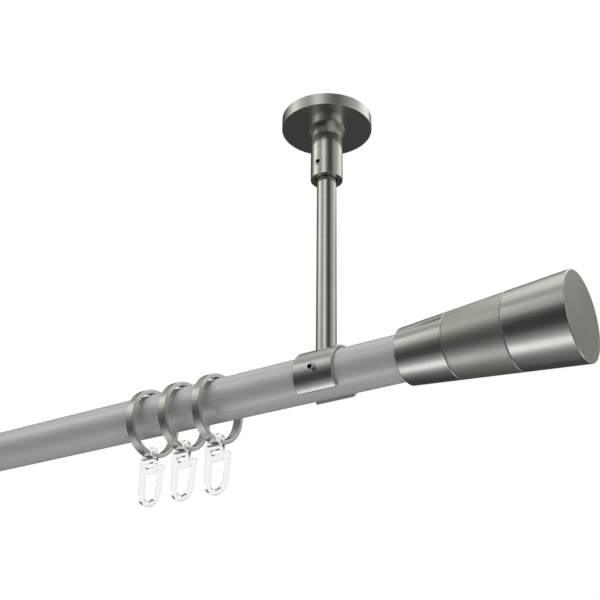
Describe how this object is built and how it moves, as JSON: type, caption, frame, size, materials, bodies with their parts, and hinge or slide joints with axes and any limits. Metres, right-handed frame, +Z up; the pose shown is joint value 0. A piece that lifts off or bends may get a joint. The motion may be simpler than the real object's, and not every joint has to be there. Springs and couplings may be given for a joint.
{
  "type": "ceiling-mounted curtain rod",
  "caption": "Round metal curtain rod hung from the ceiling on drop brackets, with flared finials and sliding rings that carry clear plastic hooks.",
  "frame": {"origin": "on the ceiling plane, midway between the two brackets' stem axes", "axes": "+X along the rod towards its right end, +Z up into the ceiling, +Y away from the room"},
  "size_m": [1.0964, 0.0428, 0.1756],
  "materials": {
    "rod_steel": "satin, fine grain along the rod",
    "brushed_nickel": "turned and brushed nickel, warm grey",
    "dull_nickel": "dull brushed nickel",
    "zinc_screw": "bright zinc plating",
    "plain_steel": "plain machined steel",
    "clear_plastic": "clear injection moulded plastic"
  },
  "bodies": {
    "hanger_frame": {"rod_tube": "rod_steel", "right_mount_plate": "plain_steel", "right_plate_screw": "zinc_screw", "right_stem": "brushed_nickel", "right_saddle_screw": "zinc_screw", "right_saddle": "brushed_nickel", "left_mount_plate": "plain_steel", "left_plate_screw": "zinc_screw", "left_stem": "brushed_nickel", "left_saddle_screw": "zinc_screw", "left_saddle": "brushed_nickel"},
    "right_cover": {"right_rosette": "brushed_nickel", "right_sleeve": "brushed_nickel"},
    "right_cover_screw": {"right_sleeve_grub": "zinc_screw"},
    "right_rod_screw": {"right_saddle_grub": "zinc_screw"},
    "right_finial": {"right_finial_base": "brushed_nickel", "right_finial_middle": "dull_nickel", "right_finial_end": "brushed_nickel", "right_finial_core": "plain_steel"},
    "right_ring_1": {"right_ring_1": "brushed_nickel"},
    "right_hook_1": {"right_hook_1": "clear_plastic"},
    "right_ring_2": {"right_ring_2": "brushed_nickel"},
    "right_hook_2": {"right_hook_2": "clear_plastic"},
    "right_ring_3": {"right_ring_3": "brushed_nickel"},
    "right_hook_3": {"right_hook_3": "clear_plastic"},
    "left_cover": {"left_rosette": "brushed_nickel", "left_sleeve": "brushed_nickel"},
    "left_cover_screw": {"left_sleeve_grub": "zinc_screw"},
    "left_rod_screw": {"left_saddle_grub": "zinc_screw"},
    "left_finial": {"left_finial_base": "brushed_nickel", "left_finial_middle": "dull_nickel", "left_finial_end": "brushed_nickel", "left_finial_core": "plain_steel"},
    "left_ring_1": {"left_ring_1": "brushed_nickel"},
    "left_hook_1": {"left_hook_1": "clear_plastic"},
    "left_ring_2": {"left_ring_2": "brushed_nickel"},
    "left_hook_2": {"left_hook_2": "clear_plastic"},
    "left_ring_3": {"left_ring_3": "brushed_nickel"},
    "left_hook_3": {"left_hook_3": "clear_plastic"}
  },
  "joints": [
    {"name": "right_cover_drop", "type": "slide", "parent": "hanger_frame", "child": "right_cover", "axis": [0, 0, -1], "range_m": [0, 0.08]},
    {"name": "right_cover_screw_out", "type": "slide", "parent": "right_cover", "child": "right_cover_screw", "axis": [0, -1, 0], "range_m": [0, 0.003]},
    {"name": "right_rod_screw_out", "type": "slide", "parent": "hanger_frame", "child": "right_rod_screw", "axis": [0, -1, 0], "range_m": [0, 0.003]},
    {"name": "right_finial_pull", "type": "slide", "parent": "hanger_frame", "child": "right_finial", "axis": [1, 0, 0], "range_m": [0, 0.035]},
    {"name": "right_ring_1_slide", "type": "slide", "parent": "hanger_frame", "child": "right_ring_1", "axis": [1, 0, 0], "range_m": [-0.11, 0.0465]},
    {"name": "right_hook_1_swing", "type": "hinge", "parent": "right_ring_1", "child": "right_hook_1", "pos_m": [0.37605, 0, -0.13595], "axis": [1, 0, 0], "range_deg": [-90, 90]},
    {"name": "right_ring_2_slide", "type": "slide", "parent": "right_ring_1", "child": "right_ring_2", "axis": [1, 0, 0], "range_m": [-0.11, 0.00545]},
    {"name": "right_hook_2_swing", "type": "hinge", "parent": "right_ring_2", "child": "right_hook_2", "pos_m": [0.3564, 0, -0.13595], "axis": [1, 0, 0], "range_deg": [-90, 90]},
    {"name": "right_ring_3_slide", "type": "slide", "parent": "right_ring_2", "child": "right_ring_3", "axis": [1, 0, 0], "range_m": [-0.11, 0.00545]},
    {"name": "right_hook_3_swing", "type": "hinge", "parent": "right_ring_3", "child": "right_hook_3", "pos_m": [0.33675, 0, -0.13595], "axis": [1, 0, 0], "range_deg": [-90, 90]},
    {"name": "left_cover_drop", "type": "slide", "parent": "hanger_frame", "child": "left_cover", "axis": [0, 0, -1], "range_m": [0, 0.08]},
    {"name": "left_cover_screw_out", "type": "slide", "parent": "left_cover", "child": "left_cover_screw", "axis": [0, -1, 0], "range_m": [0, 0.003]},
    {"name": "left_rod_screw_out", "type": "slide", "parent": "hanger_frame", "child": "left_rod_screw", "axis": [0, -1, 0], "range_m": [0, 0.003]},
    {"name": "left_finial_pull", "type": "slide", "parent": "hanger_frame", "child": "left_finial", "axis": [-1, 0, 0], "range_m": [0, 0.035]},
    {"name": "left_ring_1_slide", "type": "slide", "parent": "hanger_frame", "child": "left_ring_1", "axis": [-1, 0, 0], "range_m": [-0.11, 0.0465]},
    {"name": "left_hook_1_swing", "type": "hinge", "parent": "left_ring_1", "child": "left_hook_1", "pos_m": [-0.37605, 0, -0.13595], "axis": [1, 0, 0], "range_deg": [-90, 90]},
    {"name": "left_ring_2_slide", "type": "slide", "parent": "left_ring_1", "child": "left_ring_2", "axis": [-1, 0, 0], "range_m": [-0.11, 0.00545]},
    {"name": "left_hook_2_swing", "type": "hinge", "parent": "left_ring_2", "child": "left_hook_2", "pos_m": [-0.3564, 0, -0.13595], "axis": [1, 0, 0], "range_deg": [-90, 90]},
    {"name": "left_ring_3_slide", "type": "slide", "parent": "left_ring_2", "child": "left_ring_3", "axis": [-1, 0, 0], "range_m": [-0.11, 0.00545]},
    {"name": "left_hook_3_swing", "type": "hinge", "parent": "left_ring_3", "child": "left_hook_3", "pos_m": [-0.33675, 0, -0.13595], "axis": [1, 0, 0], "range_deg": [-90, 90]}
  ]
}
